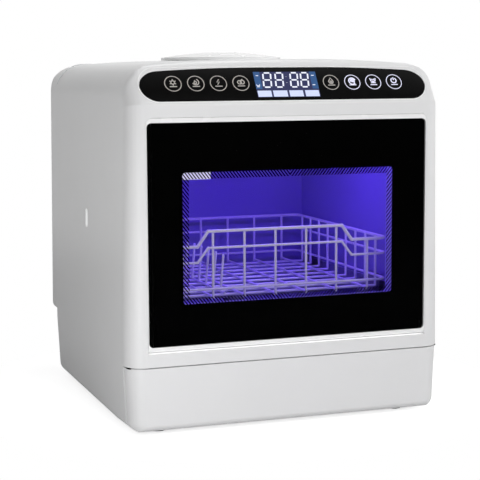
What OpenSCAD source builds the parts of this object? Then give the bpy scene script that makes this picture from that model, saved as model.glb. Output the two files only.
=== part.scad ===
// Countertop dishwasher with a drop-down glass door, a tilted touch console,
// a tank filled through the roof and a pull-out wire rack. Millimetres, +Z up.
// Most modules measure y from the front face; placed() then moves the origin
// to the middle of the footprint, on the worktop.

/* [Cabinet] */
// Width over the side walls
body_w = 420; // [400:1:450]
// Depth from the front face to the back of the rear cover
body_d = 445; // [430:1:470]
// Height of the roof above the worktop
roof_z = 457; // [455:1:480]
// Gap under the cabinet, bridged by the feet
foot_h = 5; // [4:1:8]
// Thickness of the moulded walls
wall = 2.5; // [2:0.5:3]
// Radius of the vertical front corners
front_r = 24; // [18:1:28]
// Radius between the side walls and the roof
shoulder_r = 44; // [30:1:50]
// Height of the seam above the plinth
plinth_top = 87; // [80:1:90]
// Depth of the front frame moulding
frame_d = 26; // [25:1:28]

/* [Console] */
// Height at which the front leans back into the console
console_z = 404; // [402:1:405]
// Lean of the console away from vertical, in degrees
console_tilt = 32; // [28:1:38]
// Length of the black touch strip
strip_w = 377; // [340:1:380]
// Height of the black touch strip along the slope
strip_h = 47; // [40:1:48]
// Width of the display window in the strip
display_w = 80; // [60:1:84]

/* [Door] */
// Width of the door glass
pane_w = 367; // [350:1:368]
// Height of the door glass
pane_h = 270; // [260:1:272]
// Width of the clear window in the glass
window_w = 278; // [240:1:284]
// Height of the clear window in the glass
window_h = 160; // [140:1:164]

/* [Rack] */
// Outer width of the dish rack
rack_w = 310; // [280:1:314]
// Height of the rack's top rail above the worktop
rack_rim_z = 225; // [215:1:240]
// Number of rows of plate tines
tine_rows = 9; // [5:1:10]

/* [Roof] */
// Diameter of the filler cap
cap_d = 166; // [140:1:170]
// Distance of the cap's centre behind the front face
cap_y = 265; // [240:1:280]
// Height of the cap above the roof
cap_h = 11; // [9:1:14]

/* [Hidden] */

$fn = 64;
eps = 0.01;
elbow_swell = 0.03;                  // a bent bar is a little thicker at its elbows
elbow_cuff = 2;                      // and a hose has a cuff there

// Cabinet
half_w = body_w / 2;
seam = 0.3;                          // assembly gap between the outer mouldings
bottom_r = 12;                       // rounding under the side walls
front_bottom_r = 10;
bend_r = 10;                         // blend between the front face and the console
brow_r = 12;                         // blend between the console and the roof
rear_top_r = 30;
rear_r = 18;
shell_rear = body_d - 47;            // the side walls end here and the rear cover begins
cover_bottom = 90;                   // the rear cover stops above the connectors
brow_y = tan(console_tilt) * (roof_z - console_z);
strip_rise = 27.1;                   // centre of the touch strip above the bend, along the slope

// Door, with its pivot inside the slab near the bottom edge
pane_z = 112;
door_w = pane_w + 1.4;
door_bottom = pane_z - 6.5;
door_top = pane_z + pane_h + 6;
door_r = 7;
glass_t = 3.2;
border_t = 0.8;
frame_t = 20;                        // depth of the door's outer tray
liner_t = 2;
plug_y = 28;                         // rear face of the raised liner
pivot_y = 9;
pivot_z = door_bottom + 10;
pin_r = 2.5;
door_gap = 0.6;
door_gap_below = 1.5;                // the lower edge swings down a little as the door drops
door_foot_r = 6;                     // rounding of that lower edge
door_toe_r = 2.5;                    // lower corners of the door, seen from the front
sill_r = 1;                          // and of its opening, which the open door's full width must pass
gasket_face = 24.5;
window_z = pane_z + 50;
window_r = 4;

// Tub
tub_half = 172;
tub_wall = 2;
tub_front = 34;
tub_rear = 384;
tub_bottom = 112;
tub_top = 376;
mouth_half = 168;
mouth_bottom = 122;
mouth_top = 366;
mouth_r = 16;
flange_half = 190;
flange_bottom = 100;
flange_top = 393;

// Water path
hub = [0, 215];
sump_at = [85, 120];
sump_r = 44;
filter_r = 34;
pump_z = 60;
volute_x = [12, 36];
heater_z = 70;
heater_gap = 6;                      // half the distance between the heater's ends
arm_z = 128;
arm_reach = 145;

// Rack
wire_r = 1.6;
rim_r = 2.1;
rack_half = rack_w / 2;
rack_front = 52;
rack_rear = 362;
rack_base = 158;                     // height of the lowest floor wires
rail_z = 143;

// Roof
tank_z = [tub_top, 441];
tank_y = [100, 372];
tank_half = 150;
tank_r = 8;
neck_r = 40;
roof_hole_r = 62;

// Rear services
connector_z = 55;
inlet_x = -120;
drain_x = 95;
gland_at = [155, 72];
screw_x = 188;
screw_z = [136, 408];
blower_at = [-85, 290];
blower_back = shell_rear + 33;
duct_at = [-54, 338];

// ---------- shared shapes ----------

// Moves a piece from front-face coordinates to the part's own origin
module placed() translate([0, -body_d / 2, 0]) children();

function unit(v) = v / norm(v);

// Corner i of a convex outline, moved inward by inset: [vertex, towards previous, towards next, half angle]
function corner(points, i, inset) =
    let (n = len(points))
    let (here = points[i])
    let (a = unit(points[(i + n - 1) % n] - here))
    let (b = unit(points[(i + 1) % n] - here))
    let (half = acos(a * b) / 2)
    [here + unit(a + b) * inset / sin(half), a, b, half];

// Convex outline with true arcs at its corners; a radius of 0 keeps a corner sharp
module rounded_outline(points, radii, inset = 0) {
    corners = [for (i = [0 : len(points) - 1]) corner(points, i, inset)];
    r = [for (x = radii) x > 0 ? max(x - inset, 0.6) : 0];
    polygon([for (i = [0 : len(points) - 1]) for (side = [1, 2])
        corners[i][0] + corners[i][side] * r[i] / tan(corners[i][3])]);
    for (i = [0 : len(points) - 1])
        if (r[i] > 0)
            translate(corners[i][0] + unit(corners[i][1] + corners[i][2]) * r[i] / sin(corners[i][3]))
                circle(r[i], $fn = 96);
}

// Rectangle between two corners with one radius
module rounded_box_outline(low, high, r) {
    rounded_outline([low, [high[0], low[1]], high, [low[0], high[1]]], [r, r, r, r]);
}

// Outline in x and z, extruded backwards from y0 to y1
module facing_front(y0, y1) translate([0, y1, 0]) rotate([90, 0, 0]) linear_extrude(y1 - y0) children();

// Outline in y and z, extruded from x0 to x1
module facing_side(x0, x1)
    translate([x0, 0, 0]) rotate([90, 0, 90]) linear_extrude(x1 - x0) children();

// Local x along the console, y up its slope, z out of its face; the origin is at the bend
module on_console() translate([0, 0, console_z]) rotate([90 - console_tilt, 0, 0]) children();

function rod_facets(r) = r > 4 ? 48 : 24;

// Round bar between two points
module rod(a, b, r) {
    v = b - a;
    translate(a)
        rotate([0, acos(v[2] / norm(v)), atan2(v[1], v[0])])
            cylinder(h = norm(v), r = r, $fn = rod_facets(r));
}

// Bar through a list of points, with round elbows
module bent_rod(path, r, swell = elbow_swell) {
    for (i = [0 : len(path) - 2]) rod(path[i], path[i + 1], r);
    for (i = [1 : len(path) - 2]) translate(path[i]) sphere(r + swell, $fn = rod_facets(r));
}

// Footprint with round front and rear corners
module plan(depth, inset = 0) {
    rounded_outline([[-half_w, 0], [half_w, 0], [half_w, depth], [-half_w, depth]],
        [front_r, front_r, rear_r, rear_r], inset);
}

// Side view: upright front, leaning console, flat roof
module side_view(inset = 0) {
    rounded_outline([[0, foot_h], [body_d, foot_h], [body_d, roof_z], [brow_y, roof_z], [0, console_z]],
        [front_bottom_r, front_bottom_r, rear_top_r, brow_r, bend_r], inset);
}

// Front view: round shoulders, small rounding underneath
module front_view(inset = 0) {
    rounded_outline([[-half_w, foot_h], [half_w, foot_h], [half_w, roof_z], [-half_w, roof_z]],
        [bottom_r, bottom_r, shoulder_r, shoulder_r], inset);
}

// The cabinet's outer form, or the same form moved inward
module body_form(inset = 0) {
    intersection() {
        linear_extrude(2 * roof_z) plan(body_d, inset);
        on_console() rotate([-90, 0, 0]) translate([0, 0, -roof_z])
            linear_extrude(2 * roof_z) plan(3 * body_d, inset);
        facing_front(-eps, body_d + eps) front_view(inset);
        facing_side(-half_w, half_w) side_view(inset);
    }
}

// Side view of everything in front of the front frame's rear seam, moved forward by back
module frame_zone(back = 0) {
    y = frame_d - back;
    bend = console_z - y * tan(console_tilt / 2);
    top = roof_z + 20;
    polygon([[-5, plinth_top + 0.7], [y, plinth_top + 0.7], [y, bend],
        [y + (top - bend) * tan(console_tilt), top], [-5, top]]);
}

// The door opening in the front frame
module door_hole(grow = 0) {
    half = door_w / 2 + door_gap + grow;
    bottom = door_bottom - door_gap_below - grow;
    top = door_top + door_gap + grow;
    head = door_r + door_gap + grow;
    rounded_outline([[-half, bottom], [half, bottom], [half, top], [-half, top]],
        [sill_r + grow, sill_r + grow, head, head]);
}

// The black strip with fully round ends, on the console's slope
module strip_outline(grow = 0) {
    h = strip_h / 2 + grow;
    reach = strip_w / 2 - strip_h / 2;
    translate([-reach, strip_rise - h]) square([2 * reach, 2 * h]);
    for (x = [-reach, reach]) translate([x, strip_rise]) circle(h, $fn = 96);
}

// What is cut away to round the lower rear edge of the side walls
module rear_heel(z, r) {
    facing_side(-half_w - 1, half_w + 1) difference() {
        translate([shell_rear - r, z - 1]) square([r + 4, r + 1]);
        translate([shell_rear - r, z + r]) circle(r, $fn = 96);
    }
}

// ---------- cabinet ----------

module cabinet_shell() color("whitesmoke") {
    difference() {
        body_form();
        body_form(wall);
        // front edge of the wrap, along the front frame's seam
        facing_side(-half_w - 1, half_w + 1) frame_zone(-seam);
        translate([-half_w - 1, -1, 0]) cube([body_w + 2, frame_d + seam + 1, plinth_top + 5]);
        translate([-half_w - 1, shell_rear, 0]) cube([body_w + 2, body_d, roof_z + 1]);
        // open underneath between the rounded edges
        translate([-half_w + 14, -1, 0]) cube([body_w - 28, body_d + 2, foot_h + wall + 1]);
        rear_heel(foot_h, 16);
        translate([0, cap_y, roof_z - wall - 1]) cylinder(h = wall + 2, r = roof_hole_r, $fn = 96);
        side_plug_form(0.2);
    }
}

// Small oblong plug over the fixing hole in the left wall
module side_plug_form(grow = 0) {
    facing_side(-half_w - 1, -half_w + wall + 1)
        rounded_box_outline([205 - grow, 238 - grow], [216 + grow, 262 + grow], 4 + grow);
}

module side_plug() color("white") {
    intersection() {
        side_plug_form();
        translate([-half_w, 190, 220]) cube([wall, 50, 60]);
    }
}

module front_fascia() color("white") {
    difference() {
        union() {
            difference() {
                intersection() {
                    body_form();
                    facing_side(-half_w - 1, half_w + 1) frame_zone();
                }
                body_form(wall + 0.5);
            }
            // inward frame that the door closes into
            facing_front(1.5, tub_front - 2) door_hole(3);
            // seat for the touch strip
            on_console() translate([0, 0, -6]) linear_extrude(5) strip_outline(3);
        }
        facing_front(-1, tub_front) door_hole();
        on_console() translate([0, 0, -3.2]) linear_extrude(10) strip_outline(0.2);
        on_console() translate([0, 0, -7]) linear_extrude(10) strip_outline(-3);
        // the hinge pins pass through the frame's sides
        for (side = [-1, 1])
            translate([side * door_w / 2, pivot_y, pivot_z]) rotate([0, 90, 0])
                cylinder(h = 20, r = pin_r + 0.5, center = true);
    }
}

module plinth_panel() color("white") {
    difference() {
        intersection() {
            body_form(1);
            translate([-half_w, -1, 0]) cube([body_w, frame_d + 1, plinth_top - 0.8]);
        }
        body_form(1 + wall);
    }
}

module rear_cover_form(inset) {
    low = [-half_w + 0.8 + inset, cover_bottom + inset];
    high = [half_w - 0.8 - inset, roof_z - 0.8 - inset];
    intersection() {
        facing_front(shell_rear + seam, body_d - inset)
            rounded_outline([low, [high[0], low[1]], high, [low[0], high[1]]],
                [16 - inset, 16 - inset, shoulder_r - 0.8 - inset, shoulder_r - 0.8 - inset]);
        linear_extrude(2 * roof_z) plan(body_d, inset);
        facing_side(-half_w, half_w)
            rounded_outline([[0, cover_bottom], [body_d, cover_bottom], [body_d, roof_z], [0, roof_z]],
                [0, 14, rear_top_r, 0], inset);
    }
}

module rear_cover() color("whitesmoke") {
    difference() {
        union() {
            difference() {
                rear_cover_form(0);
                translate([0, -eps, 0]) rear_cover_form(wall);
            }
            // deep screw wells that reach the rear panel
            for (x = [-screw_x, screw_x]) for (z = screw_z)
                translate([x, body_d - wall, z]) rotate([90, 0, 0])
                    cylinder(h = body_d - wall - shell_rear - seam, r = 7);
        }
        for (x = [-screw_x, screw_x]) for (z = screw_z) {
            translate([x, body_d + 1, z]) rotate([90, 0, 0]) cylinder(h = 39, r = 4.5);
            translate([x, body_d + 1, z]) rotate([90, 0, 0]) cylinder(h = 60, r = 2.2);
        }
        // air intake in front of the blower, and the warm air outlet
        for (i = [-4 : 4])
            facing_front(body_d - 10, body_d + 1)
                rounded_box_outline([blower_at[0] - 34, blower_at[1] + 8 * i - 2],
                    [blower_at[0] + 34, blower_at[1] + 8 * i + 2], 1.9);
        for (i = [0 : 5])
            facing_front(body_d - 10, body_d + 1)
                rounded_box_outline([60, 330 + 8 * i], [140, 334 + 8 * i], 1.9);
    }
}

module rear_panel() color("silver") {
    difference() {
        facing_front(shell_rear - 3, shell_rear - 1)
            rounded_outline([[-205, 98], [205, 98], [205, roof_z - 4], [-205, roof_z - 4]], [4, 4, 40, 40]);
        // hole for the drying air
        translate([duct_at[0], shell_rear, duct_at[1]]) rotate([90, 0, 0])
            cylinder(h = 20, r = 14, center = true);
        for (x = [-screw_x, screw_x]) for (z = screw_z)
            translate([x, shell_rear, z]) rotate([90, 0, 0]) cylinder(h = 20, r = 2, center = true);
    }
}

module base_tray() color("gainsboro") {
    top = 96;
    difference() {
        intersection() {
            body_form(4);
            translate([-half_w, 4, 0]) cube([body_w, shell_rear - 4, top]);
        }
        intersection() {
            body_form(4 + wall);
            translate([-half_w, 4, 0]) cube([body_w, shell_rear - 4 - wall, top + 10]);
        }
        rear_heel(foot_h + 4, 12);
        for (at = [[inlet_x, connector_z, 14], [drain_x, connector_z, 9.3], [gland_at[0], gland_at[1], 9.3]])
            translate([at[0], shell_rear, at[1]]) rotate([90, 0, 0])
                cylinder(h = 20, r = at[2], center = true);
    }
}

module feet() color("dimgray") {
    for (x = [-162, 162]) for (y = [42, shell_rear - 36])
        translate([x, y, 0]) {
            cylinder(h = foot_h - 2, r1 = 10, r2 = 12, $fn = 48);
            translate([0, 0, foot_h - 2]) cylinder(h = 6, r = 12, $fn = 48);
        }
}

module rear_screws() color("silver") {
    for (x = [-screw_x, screw_x]) for (z = screw_z)
        translate([x, shell_rear + 11.4, z]) rotate([90, 0, 0]) difference() {
            union() {
                cylinder(h = 2.4, r = 3.8);
                cylinder(h = 17.4, r = 2);
            }
            translate([0, 0, -1]) cylinder(h = 2, r = 1.6, $fn = 6);
        }
}

// ---------- console ----------

module control_strip() color("black") {
    on_console() translate([0, 0, -3.2]) linear_extrude(3) strip_outline();
}

module display_module() color("navy") {
    on_console() translate([-display_w / 2 - 4, strip_rise - 19.5, -14.8]) cube([display_w + 8, 38, 11.5]);
}

module control_board() color("darkgreen") {
    on_console() {
        translate([-160, strip_rise - 22.5, -16.4]) cube([320, 44, 1.6]);
        // touch key pads on the front, relays and connector on the back
        for (x = [59, 88, 117, 146]) for (side = [-1, 1])
            translate([side * x, strip_rise, -14.9]) cylinder(h = 11.6, r = 8);
        for (x = [-120, -92, 100])
            translate([x, strip_rise - 14.5, -30]) cube([18, 22, 13.7]);
    }
}

// ---------- wash chamber ----------

module tub() color("lightgray") {
    difference() {
        union() {
            facing_front(tub_front, tub_rear)
                rounded_box_outline([-tub_half, tub_bottom], [tub_half, tub_top], mouth_r + 4);
            facing_front(tub_front - 2, tub_front)
                rounded_box_outline([-flange_half, flange_bottom], [flange_half, flange_top], 12);
        }
        facing_front(tub_front, tub_rear - tub_wall)
            rounded_box_outline([-tub_half + tub_wall, tub_bottom + tub_wall],
                [tub_half - tub_wall, tub_top - tub_wall], mouth_r + 2);
        facing_front(tub_front - 3, tub_front + eps)
            rounded_box_outline([-mouth_half, mouth_bottom], [mouth_half, mouth_top], mouth_r);
        // filter well, water feed, air inlet, latch slot
        translate([sump_at[0], sump_at[1], tub_bottom - 1]) cylinder(h = 5, r = filter_r + 1.5);
        translate([hub[0], hub[1], tub_bottom - 1]) cylinder(h = 5, r = 11);
        translate([duct_at[0], tub_rear, duct_at[1]]) rotate([90, 0, 0])
            cylinder(h = 10, r = 11, center = true);
        facing_front(tub_front - 3, tub_front + 1)
            rounded_box_outline([-19, 379], [19, 388.5], 1);
    }
}

module door_gasket() color("gray") {
    difference() {
        facing_front(gasket_face, tub_front - 2)
            rounded_box_outline([-mouth_half - 11, mouth_bottom - 11],
                [mouth_half + 11, mouth_top + 11], mouth_r + 8);
        facing_front(20, tub_front)
            rounded_box_outline([-mouth_half, mouth_bottom], [mouth_half, mouth_top], mouth_r);
    }
}

module rack_rails() color("silver") {
    ledge = 14;
    for (side = [-1, 1]) {
        x = side > 0 ? tub_half - tub_wall - ledge : -tub_half + tub_wall;
        translate([x, tub_front + 14, rail_z - 3]) cube([ledge, 320, 3]);
        translate([side > 0 ? x + ledge - 3 : x, tub_front + 14, rail_z - 3]) cube([3, 320, 22]);
    }
}

module interior_lamp() color("mediumpurple") {
    translate([-70, 70, tub_top - tub_wall - 7]) cube([140, 14, 7]);
}

module sump() color("dimgray") {
    difference() {
        union() {
            translate([sump_at[0], sump_at[1], 34]) cylinder(h = tub_bottom - 34, r = sump_r);
            // outlet stub to the drain pump
            translate([sump_at[0] + 30, sump_at[1], 46]) rotate([0, 90, 0]) cylinder(h = 27, r = 9);
        }
        translate([sump_at[0], sump_at[1], 37]) cylinder(h = tub_bottom, r = sump_r - 3);
        // the heater's two ends pass through the wall
        for (y = [-heater_gap, heater_gap])
            translate([sump_at[0], sump_at[1] + y, heater_z]) rotate([0, 90, 0]) cylinder(h = 60, r = 3);
        // suction port of the wash pump
        translate([sump_at[0] - sump_r, sump_at[1], pump_z]) rotate([0, 90, 0])
            cylinder(h = 20, r = 9, center = true);
    }
}

module filter() color("slategray") {
    at = [sump_at[0], sump_at[1], 0];
    translate(at) difference() {
        union() {
            translate([0, 0, 84]) cylinder(h = 30.5, r = filter_r - 6);
            translate([0, 0, tub_bottom + tub_wall + 0.3]) cylinder(h = 2.2, r = filter_r + 6);
            translate([-22, -3, tub_bottom + tub_wall]) cube([44, 6, 10]);
        }
        translate([0, 0, 86]) cylinder(h = 25, r = filter_r - 8);
        // straining slots
        for (a = [0 : 30 : 330])
            rotate([0, 0, a]) translate([filter_r - 10, -2, 90]) cube([6, 4, 18]);
    }
}

module spray_hub() color("slategray") {
    translate([hub[0], hub[1], 0]) difference() {
        union() {
            translate([0, 0, 96]) cylinder(h = arm_z - 97, r = 10.6);
            translate([0, 0, tub_bottom + tub_wall]) cylinder(h = 4, r = 20);
            translate([0, 0, arm_z - 2]) cylinder(h = 19, r = 6);
        }
        translate([0, 0, 90]) cylinder(h = 50, r = 3.5);
    }
}

module spray_nut() color("dimgray") {
    translate([hub[0], hub[1], arm_z + 14.3]) difference() {
        cylinder(h = 4, r = 9, $fn = 6);
        translate([0, 0, -1]) cylinder(h = 3.7, r = 6);
    }
}

module spray_arm() color("slategray") {
    translate([hub[0], hub[1], arm_z]) difference() {
        union() {
            cylinder(h = 14, r = 15);
            for (turn = [0, 180]) rotate([0, 0, turn])
                translate([0, 0, 4]) {
                    translate([0, -11, 0]) cube([arm_reach - 11, 22, 8]);
                    translate([arm_reach - 11, 0, 0]) cylinder(h = 8, r = 11);
                }
        }
        translate([0, 0, -1]) cylinder(h = 20, r = 6.06);
        // jets on the upper face
        for (turn = [0, 180]) for (x = [40, 72, 104, 130])
            rotate([0, 0, turn]) translate([x, 0, 8]) cylinder(h = 5, r = 2);
    }
}

// ---------- water path under the tub ----------

module wash_pump() color("darkslategray") {
    translate([0, sump_at[1], pump_z]) rotate([0, 90, 0]) difference() {
        union() {
            translate([0, 0, volute_x[0]]) cylinder(h = volute_x[1] - volute_x[0], r = 30);
            translate([0, 0, -64]) cylinder(h = 64 + volute_x[0], r = 26);
            translate([0, 0, volute_x[1] - 1]) cylinder(h = 7, r = 9);
            // outlet boss
            translate([0, 0, volute_x[0] + 12]) rotate([-90, 0, 0]) cylinder(h = 32, r = 8);
        }
        translate([0, 0, volute_x[0] + 3]) cylinder(h = 18, r = 27);
        translate([0, 0, volute_x[0] + 10]) cylinder(h = 40, r = 6);
        // outlet towards the wash pipe
        translate([0, 0, volute_x[0] + 12]) rotate([-90, 0, 0]) cylinder(h = 40, r = 6.4);
    }
}

module pump_impeller() color("black") {
    translate([volute_x[0] + 6, sump_at[1], pump_z]) rotate([0, 90, 0]) {
        cylinder(h = 2, r = 22);
        for (a = [0 : 60 : 300]) rotate([0, 0, a]) translate([6, -1, 2]) cube([15, 2, 6]);
        cylinder(h = 9, r = 5);
    }
}

module wash_pipe() color("gray") {
    x = volute_x[0] + 12;
    start = sump_at[1] + 32;
    difference() {
        bent_rod([[x, start, pump_z], [x, hub[1], pump_z],
            [hub[0], hub[1], pump_z], [hub[0], hub[1], 96]], 8);
        bent_rod([[x, start - 1, pump_z], [x, hub[1], pump_z], [hub[0], hub[1], pump_z],
            [hub[0], hub[1], 97]], 5.5);
    }
}

module drain_pump() color("darkslategray") {
    translate([sump_at[0] + 57, sump_at[1], 46]) rotate([0, 90, 0]) cylinder(h = 16, r = 15);
    translate([sump_at[0] + 73, sump_at[1], 46]) rotate([0, 90, 0]) cylinder(h = 34, r = 20);
}

module drain_hose() color("black") {
    x = sump_at[0] + 66;
    bent_rod([[x, sump_at[1] + 15, 46], [x, 330, 46], [drain_x, 368, connector_z],
        [drain_x, shell_rear - 12, connector_z]], 7, elbow_cuff);
}

module heater() color("silver") {
    translate([sump_at[0], sump_at[1], heater_z]) {
        rotate_extrude($fn = 64) translate([34.5, 0]) circle(3.5);
        for (y = [-heater_gap, heater_gap]) rod([33, y, 0], [52, y, 0], 3);
    }
}

module inlet_valve() color("white") {
    translate([inlet_x - 20, shell_rear - 64, connector_z - 20]) cube([40, 50, 40]);
    translate([inlet_x, shell_rear - 40, connector_z + 20]) cylinder(h = 22, r = 14);
}

// Feeds the tank, up the left side of the wash chamber
module supply_hose() color("whitesmoke") {
    y = shell_rear - 40;
    bent_rod([[inlet_x, y, connector_z + 42], [inlet_x, y, connector_z + 50], [-190, y, connector_z + 50],
        [-190, y, 410], [-tank_half, y, 410]], 6);
}

module inlet_connector() color("white") {
    translate([inlet_x, shell_rear - 14, connector_z]) rotate([-90, 0, 0]) difference() {
        union() {
            cylinder(h = 18, r = 13.9);
            translate([0, 0, 14]) cylinder(h = 3, r = 19);
            translate([0, 0, 17]) cylinder(h = 17, r = 13.2);
        }
        translate([0, 0, -1]) cylinder(h = 60, r = 7);
    }
}

module drain_spigot() color("gray") {
    translate([drain_x, shell_rear - 12, connector_z]) rotate([-90, 0, 0]) difference() {
        union() {
            cylinder(h = 36, r = 9);
            translate([0, 0, 12]) cylinder(h = 2.5, r = 14);
        }
        translate([0, 0, -1]) cylinder(h = 60, r = 6.5);
    }
}

module cord_gland() color("black") {
    translate([gland_at[0], shell_rear - 8, gland_at[1]]) rotate([-90, 0, 0]) difference() {
        union() {
            cylinder(h = 20, r = 9);
            translate([0, 0, 8]) cylinder(h = 3, r = 13);
        }
        translate([0, 0, -1]) cylinder(h = 60, r = 4);
    }
}

// ---------- tank and filler ----------

module water_tank() color("lightsteelblue") {
    difference() {
        translate([0, 0, tank_z[0]]) linear_extrude(tank_z[1] - tank_z[0])
            rounded_box_outline([-tank_half, tank_y[0]], [tank_half, tank_y[1]], tank_r);
        translate([0, 0, tank_z[0] + wall]) linear_extrude(tank_z[1] - tank_z[0] - 2 * wall)
            rounded_box_outline([-tank_half + wall, tank_y[0] + wall],
                [tank_half - wall, tank_y[1] - wall], tank_r - wall);
        translate([0, cap_y, tank_z[1] - 10]) cylinder(h = 20, r = neck_r + 0.2);
    }
}

module filler_neck() color("white") {
    translate([0, cap_y, 0]) difference() {
        union() {
            translate([0, 0, tank_z[1] - 8]) cylinder(h = roof_z - tank_z[1] + 8, r = neck_r);
            // funnel rim that hangs in the roof opening
            translate([0, 0, roof_z - wall]) cylinder(h = wall + 0.1, r = roof_hole_r - 0.3);
            translate([0, 0, roof_z]) cylinder(h = 1.4, r = roof_hole_r + 8);
        }
        translate([0, 0, tank_z[1] - 20]) cylinder(h = 60, r = neck_r - 2);
    }
}

module cap_seal() color("dimgray") {
    translate([0, cap_y, roof_z - 10]) difference() {
        cylinder(h = 3, r = neck_r - 2.1);
        translate([0, 0, -1]) cylinder(h = 6, r = neck_r - 4.5);
    }
}

// Low dome with a stepped rim, a finger dish and a grip bar across it
module filler_cap() color("white") {
    rim = 3.4;
    r = cap_d / 2;
    dome = cap_h - rim;
    big = (r * r + dome * dome) / (2 * dome);
    top = roof_z + cap_h;
    dish_r = 30;
    translate([0, cap_y, 0]) {
        difference() {
            union() {
                translate([0, 0, roof_z + 0.1]) cylinder(h = rim, r = r, $fn = 128);
                intersection() {
                    translate([0, 0, top - big]) sphere(big, $fn = 200);
                    translate([0, 0, roof_z + rim]) cylinder(h = cap_h, r = r - 2, $fn = 128);
                }
            }
            translate([0, 0, roof_z]) cylinder(h = rim, r = roof_hole_r + 9);
            translate([0, 0, top + 40]) sphere(46, $fn = 96);
        }
        // grip bar
        translate([-4, -24, top - 6.5]) cube([8, 48, 5.3]);
        // plug that drops into the neck
        translate([0, 0, roof_z - 10]) difference() {
            cylinder(h = rim + 10.5, r = neck_r - 4.5);
            translate([0, 0, -1]) cylinder(h = rim + 10, r = neck_r - 7);
        }
    }
}

// ---------- drying air ----------

module blower_housing() color("darkslategray") {
    translate([blower_at[0], blower_back, blower_at[1]]) rotate([90, 0, 0]) difference() {
        union() {
            cylinder(h = 34, r = 42);
            translate([14, 0, 0]) cube([34, 66, 34]);
        }
        translate([0, 0, 3]) cylinder(h = 27, r = 38);
        translate([17, 0, 3]) cube([28, 63, 27]);
        translate([0, 0, -1]) cylinder(h = 10, r = 26);
        // outlet through the rear panel
        translate([duct_at[0] - blower_at[0], duct_at[1] - blower_at[1], 20]) cylinder(h = 20, r = 11);
    }
}

module blower_rotor() color("black") {
    translate([blower_at[0], blower_back - 6, blower_at[1]]) rotate([90, 0, 0]) {
        difference() {
            cylinder(h = 20, r = 34);
            translate([0, 0, -1]) cylinder(h = 19, r = 28);
            for (a = [0 : 15 : 345]) rotate([0, 0, a]) translate([26, -2.4, -1]) cube([12, 4.8, 17]);
        }
        cylinder(h = 20, r = 9);
    }
}

module air_duct() color("gray") {
    translate([duct_at[0], shell_rear - 1, duct_at[1]]) rotate([90, 0, 0]) difference() {
        cylinder(h = shell_rear - 1 - tub_rear, r = 13.8);
        translate([0, 0, -1]) cylinder(h = 40, r = 11);
    }
}

// ---------- hinges and latch ----------

module hinge_brackets() color("silver") {
    plate = 2.5;
    foot = 9.5;
    for (side = [-1, 1]) {
        inner = side * (door_w / 2 + 4.4);
        x = side > 0 ? inner : inner - plate;
        difference() {
            union() {
                translate([x, 4, pivot_z - 12]) cube([plate, tub_front - 6, 26]);
                translate([side > 0 ? x : inner - foot, tub_front - 4, pivot_z - 12]) cube([foot, 2, 26]);
            }
            translate([x - 1, pivot_y, pivot_z]) rotate([0, 90, 0]) cylinder(h = plate + 2, r = pin_r + 0.05);
        }
    }
}

module hinge_pins() color("silver") {
    for (side = [-1, 1])
        translate([side * (door_w / 2 - 6), pivot_y, pivot_z]) rotate([0, side * 90, 0])
            cylinder(h = 14, r = pin_r);
}

module latch_housing() color("dimgray") {
    difference() {
        translate([-24, tub_front + 0.2, 377.5]) cube([48, 28, 17]);
        translate([-17, tub_front - 1, 379.5]) cube([34, 12, 9.5]);
        // bore of the door switch's plunger
        translate([0, tub_front, 384]) rotate([-90, 0, 0]) cylinder(h = 22, r = 2.55);
    }
}

module latch_plunger() color("white") {
    translate([0, 40.4, 384]) rotate([-90, 0, 0]) {
        cylinder(h = 11, r = 2.5);
    }
}

// ---------- door ----------

module door_outline(inset = 0) {
    half = door_w / 2 - inset;
    toe = max(door_toe_r - inset, 1);
    rounded_outline([[-half, door_bottom + inset], [half, door_bottom + inset],
        [half, door_top - inset], [-half, door_top - inset]], [toe, toe, door_r - inset, door_r - inset]);
}

module window_outline(grow = 0) {
    half = window_w / 2 + grow;
    rounded_box_outline([-half, window_z - grow], [half, window_z + window_h + grow], window_r + grow);
}

module pane_outline(grow = 0) {
    half = pane_w / 2 + grow;
    rounded_box_outline([-half, pane_z - grow], [half, pane_z + pane_h + grow], 5.5 + grow);
}

// Shallow tray, open at the back, with a recess for the glass
module door_frame() color("white") {
    skin = 2.4;
    difference() {
        intersection() {
            facing_front(0, frame_t) door_outline();
            // rounded lower front edge, so that the door clears the frame as it drops
            facing_side(-door_w, door_w)
                rounded_outline([[0, door_bottom], [40, door_bottom], [40, door_top], [0, door_top]],
                    [door_foot_r, 0, 0, 1.5]);
        }
        facing_front(-1, glass_t + border_t) pane_outline(0.1);
        facing_front(glass_t + border_t + skin, frame_t + 1) door_outline(3);
        facing_front(-1, frame_t + 1) window_outline(6);
        for (side = [-1, 1])
            translate([side * door_w / 2, pivot_y, pivot_z]) rotate([0, 90, 0])
                cylinder(h = 12, r = pin_r, center = true);
    }
}

module door_glass() color("black", 0.5) {
    facing_front(0, glass_t) pane_outline();
}

// Opaque printed border on the back of the glass
module glass_border() color("black") {
    facing_front(glass_t, glass_t + border_t) difference() {
        pane_outline();
        window_outline();
    }
}

module window_seal() color("dimgray") {
    facing_front(glass_t + border_t, plug_y - 1) difference() {
        window_outline(5.8);
        window_outline(2.5);
    }
}

module inner_glass() color("lightblue", 0.4) {
    facing_front(plug_y - 5, plug_y - 2) window_outline(2.5);
}

module door_liner() color("gainsboro") {
    difference() {
        union() {
            facing_front(frame_t, frame_t + liner_t)
                rounded_box_outline([-door_w / 2 + 2, door_bottom + 4], [door_w / 2 - 2, door_top - 2], 6);
            facing_front(frame_t, plug_y) rounded_box_outline([-160, 134], [160, 356], 14);
        }
        facing_front(frame_t - 1, plug_y - liner_t) rounded_box_outline([-158, 136], [158, 354], 12);
        facing_front(frame_t - 1, plug_y + 1) window_outline(5.8);
        facing_front(frame_t - 1, plug_y + 1) cup_outline(0.1);
    }
}

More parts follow.
